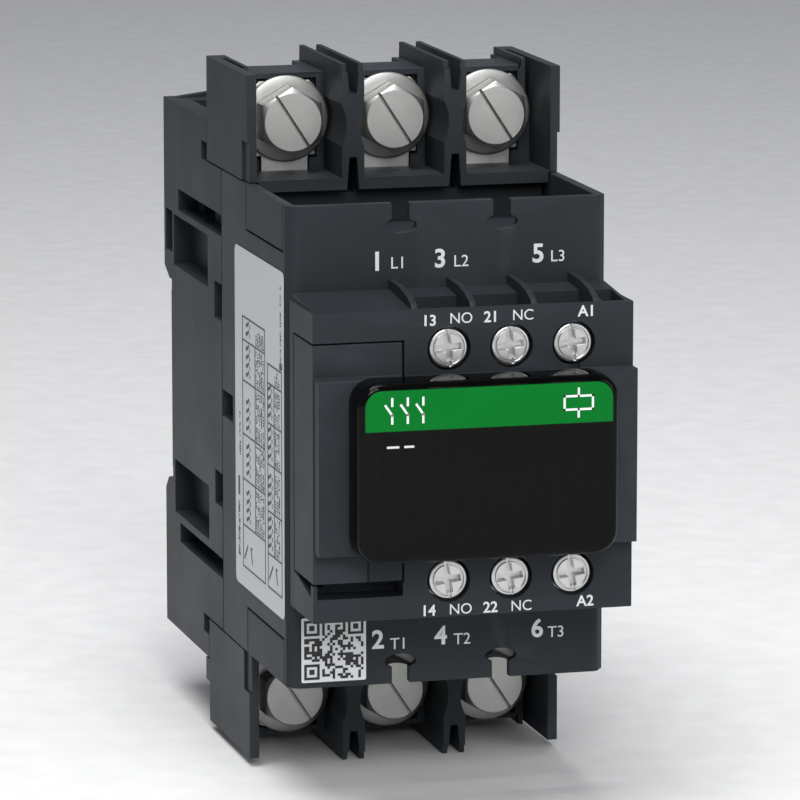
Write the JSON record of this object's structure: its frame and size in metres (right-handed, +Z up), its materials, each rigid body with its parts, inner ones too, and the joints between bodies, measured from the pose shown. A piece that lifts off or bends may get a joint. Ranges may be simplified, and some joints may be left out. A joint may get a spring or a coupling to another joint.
{
  "type": "power contactor",
  "caption": "Rail-mounted three-phase electromagnetic contactor with ring-lug screw terminals, clamp control terminals and a smoked pull-off front cover.",
  "frame": {"origin": "centre of the flat seat that rests on the front of a 35 mm rail", "axes": "+X to the viewer's right as seen from the front, +Y backwards out of the seat into the rail, +Z up from the load terminals to the line terminals"},
  "size_m": [0.0553, 0.118, 0.1208],
  "materials": {
    "housing_plastic": "fine-textured dark blue-grey polyamide",
    "cap_plastic": "fine-textured dark grey polyamide, a shade lighter",
    "smoked_plastic": "glossy smoked polycarbonate, partly see-through",
    "label": "satin white film",
    "core_steel": "laminated, ground pole faces",
    "bobbin_plastic": "cream thermoset",
    "winding_copper": "enamelled copper wire, wound in layers",
    "carrier_plastic": "black thermoset",
    "contact_copper": "silver-plated copper",
    "spring_steel": "bright spring wire",
    "zinc_steel": "zinc plate",
    "nickel_steel": "satin nickel plate"
  },
  "bodies": {
    "root": {"rear_base": "housing_plastic", "rail_clip_spring": "spring_steel", "pole_housing": "housing_plastic", "front_housing": "housing_plastic", "control_housing": "housing_plastic", "module_cover": "housing_plastic", "corner_cap_upper_left": "cap_plastic", "corner_cap_upper_right": "cap_plastic", "corner_cap_lower_left": "cap_plastic", "corner_cap_lower_right": "cap_plastic", "side_label": "label", "code_sticker": "label", "fixed_core": "core_steel", "coil_bobbin": "bobbin_plastic", "coil_winding": "winding_copper", "line_terminal_1": "contact_copper", "line_terminal_2": "contact_copper", "line_terminal_3": "contact_copper", "load_terminal_1": "contact_copper", "load_terminal_2": "contact_copper", "load_terminal_3": "contact_copper", "control_terminal_no_top": "contact_copper", "control_terminal_no_bottom": "contact_copper", "control_terminal_nc_top": "contact_copper", "control_terminal_nc_bottom": "contact_copper", "control_terminal_coil_top": "contact_copper", "control_terminal_coil_bottom": "contact_copper", "return_spring_left": "spring_steel", "return_spring_right": "spring_steel", "line_washer_1": "nickel_steel", "line_washer_2": "nickel_steel", "line_washer_3": "nickel_steel", "load_washer_1": "nickel_steel", "load_washer_2": "nickel_steel", "load_washer_3": "nickel_steel"},
    "carrier": {"contact_carrier": "carrier_plastic", "armature": "core_steel", "contact_bridge_1": "contact_copper", "contact_bridge_2": "contact_copper", "contact_bridge_3": "contact_copper", "contact_spring_1": "spring_steel", "contact_spring_2": "spring_steel", "contact_spring_3": "spring_steel", "aux_blade_no": "contact_copper", "aux_blade_nc": "contact_copper"},
    "clip": {"rail_clip": "zinc_steel"},
    "cover": {"smoked_cover": "smoked_plastic"},
    "line_screw_1": {"line_screw_1": "nickel_steel"},
    "line_screw_2": {"line_screw_2": "nickel_steel"},
    "line_screw_3": {"line_screw_3": "nickel_steel"},
    "load_screw_1": {"load_screw_1": "nickel_steel"},
    "load_screw_2": {"load_screw_2": "nickel_steel"},
    "load_screw_3": {"load_screw_3": "nickel_steel"},
    "control_screw_no_top": {"control_screw_no_top": "zinc_steel"},
    "control_screw_no_bottom": {"control_screw_no_bottom": "zinc_steel"},
    "control_screw_nc_top": {"control_screw_nc_top": "zinc_steel"},
    "control_screw_nc_bottom": {"control_screw_nc_bottom": "zinc_steel"},
    "control_screw_coil_top": {"control_screw_coil_top": "zinc_steel"},
    "control_screw_coil_bottom": {"control_screw_coil_bottom": "zinc_steel"}
  },
  "joints": [
    {"name": "carrier_pull_in", "type": "slide", "parent": "root", "child": "carrier", "axis": [0, 1, 0], "range_m": [0, 0.004], "stiffness_N_per_m": 800, "springref_m": -0.005, "deforming": ["return_spring_left", "return_spring_right"]},
    {"name": "rail_clip_pull", "type": "slide", "parent": "root", "child": "clip", "axis": [0, 0, -1], "range_m": [0, 0.003], "stiffness_N_per_m": 1500, "springref_m": -0.004, "deforming": ["rail_clip_spring"]},
    {"name": "smoked_cover_pull", "type": "slide", "parent": "root", "child": "cover", "axis": [0, -1, 0], "range_m": [0, 0.01]},
    {"name": "line_screw_1_turn", "type": "hinge", "parent": "root", "child": "line_screw_1", "pos_m": [-0.01795, -0.05, 0.0525], "axis": [0, -1, 0], "continuous": true},
    {"name": "line_screw_2_turn", "type": "hinge", "parent": "root", "child": "line_screw_2", "pos_m": [0, -0.05, 0.0525], "axis": [0, -1, 0], "continuous": true},
    {"name": "line_screw_3_turn", "type": "hinge", "parent": "root", "child": "line_screw_3", "pos_m": [0.01795, -0.05, 0.0525], "axis": [0, -1, 0], "continuous": true},
    {"name": "load_screw_1_turn", "type": "hinge", "parent": "root", "child": "load_screw_1", "pos_m": [-0.01795, -0.05, -0.0475], "axis": [0, -1, 0], "continuous": true},
    {"name": "load_screw_2_turn", "type": "hinge", "parent": "root", "child": "load_screw_2", "pos_m": [0, -0.05, -0.0475], "axis": [0, -1, 0], "continuous": true},
    {"name": "load_screw_3_turn", "type": "hinge", "parent": "root", "child": "load_screw_3", "pos_m": [0.01795, -0.05, -0.0475], "axis": [0, -1, 0], "continuous": true},
    {"name": "control_screw_no_top_turn", "type": "hinge", "parent": "root", "child": "control_screw_no_top", "pos_m": [-0.0042, -0.1, 0.0211], "axis": [0, -1, 0], "continuous": true},
    {"name": "control_screw_no_bottom_turn", "type": "hinge", "parent": "root", "child": "control_screw_no_bottom", "pos_m": [-0.0042, -0.1, -0.0175], "axis": [0, -1, 0], "continuous": true},
    {"name": "control_screw_nc_top_turn", "type": "hinge", "parent": "root", "child": "control_screw_nc_top", "pos_m": [0.0064, -0.1, 0.0211], "axis": [0, -1, 0], "continuous": true},
    {"name": "control_screw_nc_bottom_turn", "type": "hinge", "parent": "root", "child": "control_screw_nc_bottom", "pos_m": [0.0064, -0.1, -0.0175], "axis": [0, -1, 0], "continuous": true},
    {"name": "control_screw_coil_top_turn", "type": "hinge", "parent": "root", "child": "control_screw_coil_top", "pos_m": [0.017, -0.1, 0.0211], "axis": [0, -1, 0], "continuous": true},
    {"name": "control_screw_coil_bottom_turn", "type": "hinge", "parent": "root", "child": "control_screw_coil_bottom", "pos_m": [0.017, -0.1, -0.0175], "axis": [0, -1, 0], "continuous": true}
  ]
}
